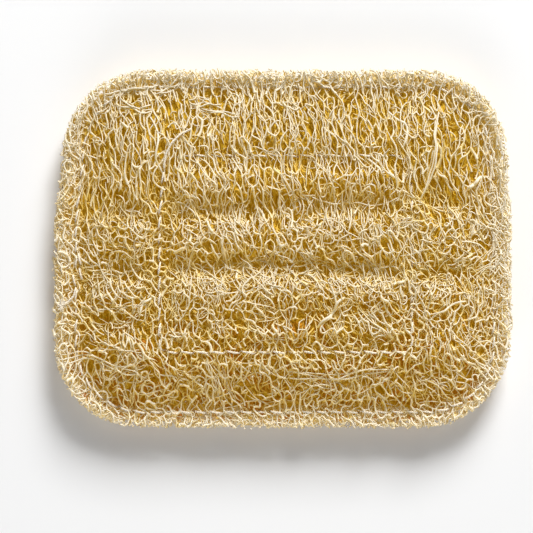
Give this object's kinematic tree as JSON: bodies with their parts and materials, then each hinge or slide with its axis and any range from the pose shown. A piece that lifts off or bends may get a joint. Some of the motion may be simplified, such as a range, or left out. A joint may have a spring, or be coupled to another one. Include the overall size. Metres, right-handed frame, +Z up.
{
  "type": "loofah sponge",
  "caption": "Flat cut pad of natural loofah net with rounded corners, quilted by an outer and an inner sewn seam.",
  "frame": {"origin": "centre of the pad's underside", "axes": "+X along the pad, +Y across it to its back edge, +Z up out of the crowned face"},
  "size_m": [0.115, 0.09, 0.0147],
  "materials": {
    "loofah_fibre": "dry open net of plant fibres, cream on the crests and golden deeper in",
    "cotton_thread": "off-white cotton sewing thread"
  },
  "bodies": {
    "root": {"loofah_pad": "loofah_fibre", "outer_seam_top_thread": "cotton_thread", "inner_seam_top_thread": "cotton_thread", "outer_seam_bottom_thread": "cotton_thread", "inner_seam_bottom_thread": "cotton_thread"}
  },
  "joints": []
}
